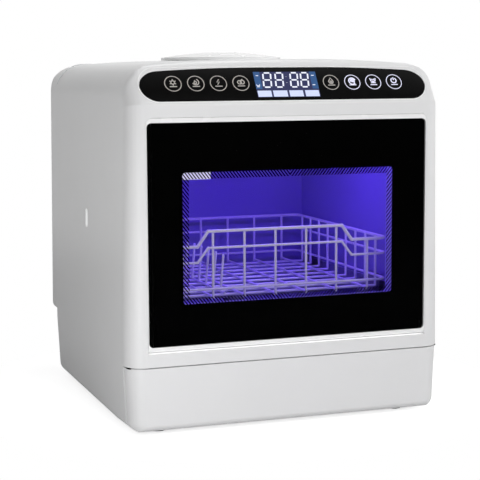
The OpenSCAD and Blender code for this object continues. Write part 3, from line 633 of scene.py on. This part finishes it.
def pen(bm, paths, width, to_place, proud=0.06):
    """Adds flat strokes along paths given in millimetres; (points, closed) each."""
    curve = bpy.data.curves.new("pen", "CURVE")
    curve.dimensions = "3D"
    curve.bevel_depth = width / 2
    curve.bevel_resolution = 1
    curve.use_fill_caps = True
    for points, closed in paths:
        spline = curve.splines.new("POLY")
        spline.points.add(len(points) - 1)
        for point, (x, y) in zip(spline.points, points):
            point.co = (x, y, 0, 1)
        spline.use_cyclic_u = closed
    holder = bpy.data.objects.new("pen", curve)
    mesh = bpy.data.meshes.new_from_object(holder)
    mesh.transform(to_place @ Matrix.Diagonal((MM, MM, MM * proud / (width / 2), 1)))
    bm.from_mesh(mesh)
    bpy.data.objects.remove(holder)
    bpy.data.curves.remove(curve)
    bpy.data.meshes.remove(mesh)


print("a whole circle has", len(arc(0, 0, 1)), "points, half of one", len(arc(0, 0, 1, 0, 180)))

# %% [markdown]
# ## The strip's white lip
# The moulding turns up in a thin lip round the glass. It is made in the lighter
# white, so its brightness is partly the light it catches and partly painted light.
# One thick pen stroke along the strip's outline makes it.

# %% The lip
LIP_WIDTH = 1.5                      # in millimetres,
LIP_PROUD = 0.35                     # and so far out of the console


def strip_lip():
    bm = bmesh.new()
    outer = STRIP_R / MM + LIP_WIDTH / 2
    reach = (STRIP_HALF - STRIP_R) / MM
    path = arc(reach, 0, outer, -90, 90, 32) + arc(-reach, 0, outer, 90, 270, 32)
    middle = CONSOLE @ Matrix.Translation((0, STRIP_RISE, 0))
    pen(bm, [(path, True)], LIP_WIDTH, middle, proud=LIP_PROUD)
    put("strip_lip", bm, white_painted_light, "cabinet")


strip_lip()

# %% [markdown]
# ## Touch keys
# Eight round keys flank the display. Each is a thin ring with an icon and a dash
# below it. The first five are dim prints, and the last three are lit. An icon is
# a few rings, bows and lines round the middle of its key, in millimetres.

# %% The icons
def ring(x, y, radius):
    return arc(x, y, radius), True


def bow(x, y, radius, start, end):
    return arc(x, y, radius, start, end), False


def line(*points):
    return points, False


TEETH = [line(*((r * math.cos(a), 1.4 + r * math.sin(a)) for r in (2.5, 3.5)))
         for a in (math.radians(60 * i + 30) for i in range(6))]
ICONS = {
    "gear": [ring(0, 1.4, 1.9), *TEETH],
    "rinse": [bow(0, 1.6, 3.2, -160, 70), bow(-0.4, 1.0, 1.3, -180, 90),
              line((-1.7, 1.0), (-0.4, 3.6))],
    "bolt": [line((1.0, 4.4), (-1.4, 1.3), (1.2, 1.5), (-1.0, -1.4))],
    "fruit": [ring(-1.3, 0.9, 2.0), ring(1.5, 1.1, 2.1), line((0.4, 3.2), (2.2, 4.3))],
    "flame": [bow(0, 0.8, 2.3, -220, 40), line((-1.8, 2.2), (0, 5.0), (1.8, 2.3)),
              ring(0, 0.6, 0.9)],
    "swirl": [bow(0, 1.2, 3.6, 20, 320), bow(0.2, 1.2, 2.2, -60, 200), ring(0.2, 1.2, 0.8)],
    "glassware": [line((-2.9, 4.3), (-2.3, 1.2), (0, 0.2), (2.3, 1.2), (2.9, 4.3)),
                  line((-1.4, 3.4), (0.2, 1.9), (1.5, 3.6)), line((-2.6, -0.9), (2.6, -0.9))],
    "power": [bow(0, 1.6, 2.8, 120, 420), line((0, 2.0), (0, 5.1))],
}
print("icons:", ", ".join(ICONS))

# %% The keys
KEY_Y = 28.5                         # up the slope from the bend, in millimetres
KEYS = {
    "gear": -145.8, "rinse": -117.1, "bolt": -88.4, "fruit": -59.5,
    "flame": 59.5, "swirl": 88.4, "glassware": 117.1, "power": 145.8,
}
RING_R = 10.3
RING_LINE = 1.0                      # width of its stroke
ICON_SCALE = 1.25
DASH = line((-4.6, -4.0), (4.6, -4.0))
DIM_LINE, LIT_LINE = 1.0, 1.3        # a lit stroke looks wider than a printed one
DASH_LINE = 1.3


def on_strip(x, y, lift=0.0):
    """The console's frame moved to a point of the strip, in millimetres."""
    return CONSOLE @ Matrix.Translation((x * MM, y * MM, STRIP_TOP + lift * MM))


def touch_keys(name, keys, finish, icon_line):
    bm = bmesh.new()
    for key in keys:
        spot = on_strip(KEYS[key], KEY_Y)
        pen(bm, [(arc(0, 0, RING_R, steps=48), True)], RING_LINE, spot)
        pen(bm, ICONS[key], icon_line, spot @ Matrix.Scale(ICON_SCALE, 4))
        pen(bm, [DASH], DASH_LINE, spot)
    put(name, bm, finish, "cabinet")


touch_keys("dim_keys", list(KEYS)[:5], warm_print, DIM_LINE)
touch_keys("lit_keys", list(KEYS)[5:], key_light, LIT_LINE)

# %% [markdown]
# ## The display
# The display has a navy ground with a teal column at each side, and four lit
# tiles below. They are thin plates just on the glass, and each kind is a hair
# thicker than the one under it, so that no two faces lie in one plane.

# %% Grounds and tiles
SCREEN = [(-41.2, 41.2, 8.2, 44.2)]  # left, right, bottom and top, in millimetres
COLUMNS = [(-41.2, -33.0, 19.8, 44.2), (33.0, 41.2, 19.8, 44.2)]
TILES = [(x0, x1, 8.8, 17.5)
         for x0, x1 in ((-40.4, -22.6), (-20.2, -1.6), (1.1, 19.1), (22.0, 40.2))]


def slab(bm, size, centre):
    """Adds a box of this size round this centre, and returns its points."""
    made = bmesh.ops.create_cube(bm, size=1.0)["verts"]
    bmesh.ops.scale(bm, vec=size, verts=made)
    bmesh.ops.translate(bm, vec=centre, verts=made)
    return made


def plates(name, boxes, thick, finish):
    bm = bmesh.new()
    for x0, x1, y0, y1 in boxes:
        made = slab(bm, (x1 - x0, y1 - y0, thick), ((x0 + x1) / 2, (y0 + y1) / 2, 0))
        bmesh.ops.scale(bm, vec=(MM, MM, MM), verts=made)
        bmesh.ops.transform(bm, matrix=on_strip(0, 0), verts=made)
    put(name, bm, finish, "cabinet")


plates("screen_ground", SCREEN, 0.06, screen_navy)
plates("screen_columns", COLUMNS, 0.10, screen_teal)
plates("screen_tiles", TILES, 0.12, tile_light)

# %% [markdown]
# ## The figures
# Four leaning digits of seven bars each, a colon between them, and a few dashes
# in the columns. A text object could write them, but a font's strokes join at
# the corners, where a real display has bars that stop short of each other.

# %% Digits, colon and dashes
DIGITS = [(-30.8, -20.9), (-14.8, -5.2), (5.0, 14.3), (18.8, 28.2)]
DIGIT_Y = (22.4, 42.6)
LEAN = 2.4                           # the top of a digit lies this far to the right
BAR_GAP = 1.3                        # a bar stops this short of each corner
BAR_LINE, DOT_LINE, MARK_LINE = 2.0, 2.2, 1.1
BAR_LIFT, MARK_LIFT = 0.03, 0.04     # how far above the glass they are drawn,
LIT_PROUD = 0.08                     # and how far they stand out from there
DOTS = [line((1.0, 37.0), (1.0, 37.2)), line((0.4, 28.6), (0.4, 28.8))]
DASHES = [line((-38.4, 38.8), (-35.2, 38.8)), line((34.8, 38.8), (38.4, 38.8)),
          line((34.0, 25.2), (37.6, 25.2)), line((-39.6, 23.0), (-36.0, 23.0)),
          line((-39.8, 26.2), (-39.4, 24.6), (-36.2, 24.6), (-35.8, 26.2))]


def digit_bars(x0, x1):
    """The seven bars of a figure eight."""
    low, high = DIGIT_Y
    middle = (low + high) / 2

    def at(x, y):
        return (x + LEAN * (y - low) / (high - low), y)

    across = [line(at(x0 + BAR_GAP, y), at(x1 - BAR_GAP, y)) for y in (low, middle, high)]
    upright = [line(at(x, y0 + BAR_GAP), at(x, y1 - BAR_GAP)) for x in (x0, x1)
               for y0, y1 in ((low, middle), (middle, high))]
    return across + upright


def figures():
    bm = bmesh.new()
    for x0, x1 in DIGITS:
        pen(bm, digit_bars(x0, x1), BAR_LINE, on_strip(0, 0, BAR_LIFT), proud=LIT_PROUD)
    pen(bm, DOTS, DOT_LINE, on_strip(0, 0, MARK_LIFT), proud=LIT_PROUD)
    pen(bm, DASHES, MARK_LINE, on_strip(0, 0, MARK_LIFT), proud=LIT_PROUD)
    put("screen_digits", bm, digit_light, "cabinet")


figures()

# %% [markdown]
# ## The printed hatch
# The black print fades into the clear window through a band of slanting strokes.
# Flat strips are cut along the edges of the strokes, and every second sliver is
# taken away. The right half mirrors the left one. A striped material would be
# quicker, but its edges would not be there in the mesh.

# %% Cut a band into strokes
WINDOW = (0.139, 0.162, 0.322)       # half width, bottom and top of the clear window
BAND = 0.008
PITCH = 0.0041                       # from stroke to stroke along the window's edge
STROKE = 0.46                        # share of the pitch that is black
SLANT = math.radians(52)
PRINT = 0.0001                       # thickness, and depth behind the border's front


def flat_box(bm, x0, x1, z0, z1):
    """A rectangle that faces the front, at y = 0."""
    corners = ((x0, 0, z0), (x1, 0, z0), (x1, 0, z1), (x0, 0, z1))
    bm.faces.new([bm.verts.new(corner) for corner in corners])


def window_hatch():
    bm = bmesh.new()
    half, low, high = WINDOW
    flat_box(bm, -half, 0, high - BAND, high)
    flat_box(bm, -half, 0, low, low + BAND)
    flat_box(bm, -half, -half + BAND, low + BAND, high - BAND)
    across = Vector((math.sin(SLANT), 0, math.cos(SLANT)))
    pitch = PITCH * math.sin(SLANT)
    first = math.floor(Vector((-half, 0, low)).dot(across) / pitch)
    last = math.ceil(Vector((0, 0, high)).dot(across) / pitch)
    for i in range(first, last):
        for edge in (0, STROKE):
            cut(bm, across * (i + edge) * pitch, across, snap=1e-7)
    clear = [f for f in bm.faces if f.calc_center_median().dot(across) / pitch % 1 > STROKE]
    bmesh.ops.delete(bm, geom=clear, context="FACES")
    bmesh.ops.mirror(bm, geom=bm.verts[:] + bm.edges[:] + bm.faces[:], axis="X", merge_dist=0)
    thicken(bm, (0, PRINT, 0))
    bmesh.ops.translate(bm, vec=(0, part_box("glass_border")[0].y + PRINT, 0), verts=bm.verts)
    put("window_hatch", bm, black_print, "door")


window_hatch()

# %% [markdown]
# ## A bright patch in the window's corner
# At one upper corner of the window, light from inside is caught behind the
# strokes. A thin plate behind the glass glows with painted light to show it. A
# lamp there would light the rack as well, which it should not.

# %% The patch
PATCH = (0.036, 0.0004, 0.0085)      # width, thickness and height
PATCH_BEHIND = 0.0006                # its middle lies this far behind the border


def painted_light_patch():
    bm = bmesh.new()
    half, _, high = WINDOW
    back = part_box("glass_border")[1].y
    slab(bm, PATCH, (-half + PATCH[0] / 2, back + PATCH_BEHIND, high - PATCH[2] / 2))
    put("painted_light_patch", bm, corner_painted_light, "door")


painted_light_patch()

# %% [markdown]
# ## The gap round the door
# The opening's edge carries a thin pale step just behind the front face, in the
# lighter white of painted light, so that the gap round the door reads as a soft
# line and not as a black one. Under the door the gap is wider, and the opening's
# lower edge shows in it as a pale sill, which glows: painted light over the
# shade in the gap.

# %% The step and the sill, in millimetres
GAP_HALF, GAP_LOW, GAP_HIGH = 184.65, 104.25, 388.45   # half width, bottom and top of the step
GAP_R = 7.5                          # of its upper corners
STEP_LINE, STEP_PROUD = 0.5, 0.3
STEP_BEHIND = 0.45                   # the front face
SILL_DEEP, SILL_THICK = 7.5, 0.12
SILL_BEHIND = 4.5                    # its middle lies this far behind the front face,
SILL_DOWN = 0.17                     # and this far below the step


def door_step():
    bm = bmesh.new()
    side, top = GAP_HALF - GAP_R, GAP_HIGH - GAP_R
    path = [(-GAP_HALF, GAP_LOW), (GAP_HALF, GAP_LOW), *arc(side, top, GAP_R, 0, 90, 8),
            *arc(-side, top, GAP_R, 90, 180, 8)]
    stand = (Matrix.Translation((0, FRONT_Y + STEP_BEHIND * MM, 0))
             @ Matrix.Rotation(math.pi / 2, 4, "X"))
    pen(bm, [(path, True)], STEP_LINE, stand, proud=STEP_PROUD)
    put("door_step", bm, white_painted_light, "cabinet")


def painted_light_sill():
    bm = bmesh.new()
    slab(bm, (2 * GAP_HALF * MM, SILL_DEEP * MM, SILL_THICK * MM),
         (0, FRONT_Y + SILL_BEHIND * MM, (GAP_LOW - SILL_DOWN) * MM))
    put("painted_light_sill", bm, gap_painted_light, "cabinet")


door_step()
painted_light_sill()

# %% [markdown]
# ## The world
# The camera sees the world as plain white, and so do reflections, apart from a
# dark card in front that keeps black glass black. A real card could be modelled,
# but its shadow would fall on the front; a ramp over the direction has none.

# %% Make the world
AMBIENT = 0.25                       # the plain level that lights the object from all round
CARD_EDGE = (0.1, 0.5)               # the card fades in between these shares of the way to -Y,
CARD_DARK = 0.9                      # and takes away this much of the white


def make_world():
    world = bpy.data.worlds.new("studio")
    world.use_nodes = True
    bpy.context.scene.world = world
    sky = Shading(world.node_tree)
    rays = sky.node("LightPath")
    glossy = rays.output("Is Glossy Ray")
    seen = (rays.output("Is Camera Ray") + glossy + rays.output("Is Transmission Ray")).clamp()
    direction = sky.node("SeparateXYZ", {"Vector": sky.node("TexCoord").output("Generated")})
    card = sky.ramp(0.0 - direction.output("Y"), *CARD_EDGE)
    level = 1.0 - CARD_DARK * (glossy * card)
    plain = sky.node("Background", {"Color": rgba(WHITE), "Strength": AMBIENT})
    white = sky.node("Background", {"Color": rgba(WHITE), "Strength": level})
    both = sky.node("MixShader", {0: seen, 1: plain, 2: white})
    sky.feed(sky.tree.nodes["World Output"].inputs["Surface"], both)
    print("world:", world.name, len(sky.tree.nodes), "nodes")


make_world()

# %% [markdown]
# ## The floor
# The floor is pale and takes a faint shadow from the feet. For the camera it
# gives off a little light, and it fades into plain white away from the object,
# so that no horizon shows. A white sheet swept up behind would do this too, but
# it would have to be turned for every other view.

# %% Make the floor
FLOOR_HALF = 1.6                     # half of a side
FLOOR_LIFT = 0.72                    # light that the camera sees it give off
FLOOR_FADE = (0.25, 0.38)            # metres from the middle between which it turns white


def make_floor():
    bm = bmesh.new()
    bmesh.ops.create_grid(bm, x_segments=8, y_segments=8, size=FLOOR_HALF)
    mesh = bpy.data.meshes.new("floor")
    bm.to_mesh(mesh)
    bm.free()
    floor = bpy.data.objects.new("floor", mesh)
    bpy.context.scene.collection.objects.link(floor)
    pale = Finish("pale_floor", {"Roughness": 0.9, "Specular IOR Level": 0.0})
    pale.vary(Base_Color=pale.mix(pale.noise(0.3), BRIGHT, (0.95, 0.95, 0.95)))
    to_camera = pale.node("LightPath").output("Is Camera Ray")
    lift = pale.node("Emission", {"Color": rgba(WHITE), "Strength": FLOOR_LIFT * to_camera})
    lifted = pale.node("AddShader", {0: Signal(pale, pale.shader.outputs[0]), 1: lift})
    white = pale.node("Emission", {"Color": rgba(WHITE), "Strength": 1.0})
    from_middle = pale.node("VectorMath", {0: pale.place}, operation="LENGTH").output("Value")
    far = pale.ramp(from_middle, *FLOOR_FADE) * to_camera
    both = pale.node("MixShader", {0: far, 1: lifted, 2: white})
    pale.feed(pale.tree.nodes["Material Output"].inputs["Surface"], both)
    mesh.materials.append(pale.material)
    print("floor:", [round(d, 2) for d in floor.dimensions], "m")


make_floor()

# %% [markdown]
# ## The lamps
# A large lamp high in front gives the soft main light. A small low one lights the
# left side, one at the right edges that side, and one above lights the roof. The
# violet strip under the tub's roof is the machine's own lamp.

# %% Set up the lamps
def soft_lamp(name, place, target, size, power, colour=WHITE, height=None):
    """An area lamp that looks at a point: square, or a strip where height is given."""
    lamp = bpy.data.lights.new(name, "AREA")
    lamp.energy = power
    lamp.color = colour
    lamp.size = size
    if height:
        lamp.shape = "RECTANGLE"
        lamp.size_y = height
    holder = bpy.data.objects.new(name, lamp)
    bpy.context.scene.collection.objects.link(holder)
    aim = (Vector(target) - Vector(place)).to_track_quat("-Z", "Y").to_matrix().to_4x4()
    holder.matrix_world = Matrix.Translation(place) @ aim


soft_lamp("key", (0.45, -2.1, 1.25), (0, -0.2, 0.25), size=1.2, power=19.0)
soft_lamp("fill", (-0.55, -0.7, 0.05), (-0.2, -0.18, 0.05), size=0.4, power=1.9)
soft_lamp("edge", (1.2, -0.5, 0.4), (0.2, -0.2, 0.25), size=0.5, power=1.8)
soft_lamp("top", (0.15, 0.0, 1.4), (0, 0.0, 0.45), size=0.5, power=4.2)
soft_lamp("tub_violet", (0, -0.13, 0.362), (0, 0.02, 0.15), size=0.26, power=0.68,
          colour=(0.16, 0.06, 1.0), height=0.03)

# %% [markdown]
# ## The view transform
# The render shows colours with the Standard view transform. The dressed model must stay
# inside the imported model's box.

# %% Set the view transform
bpy.context.scene.view_settings.view_transform = "Standard"
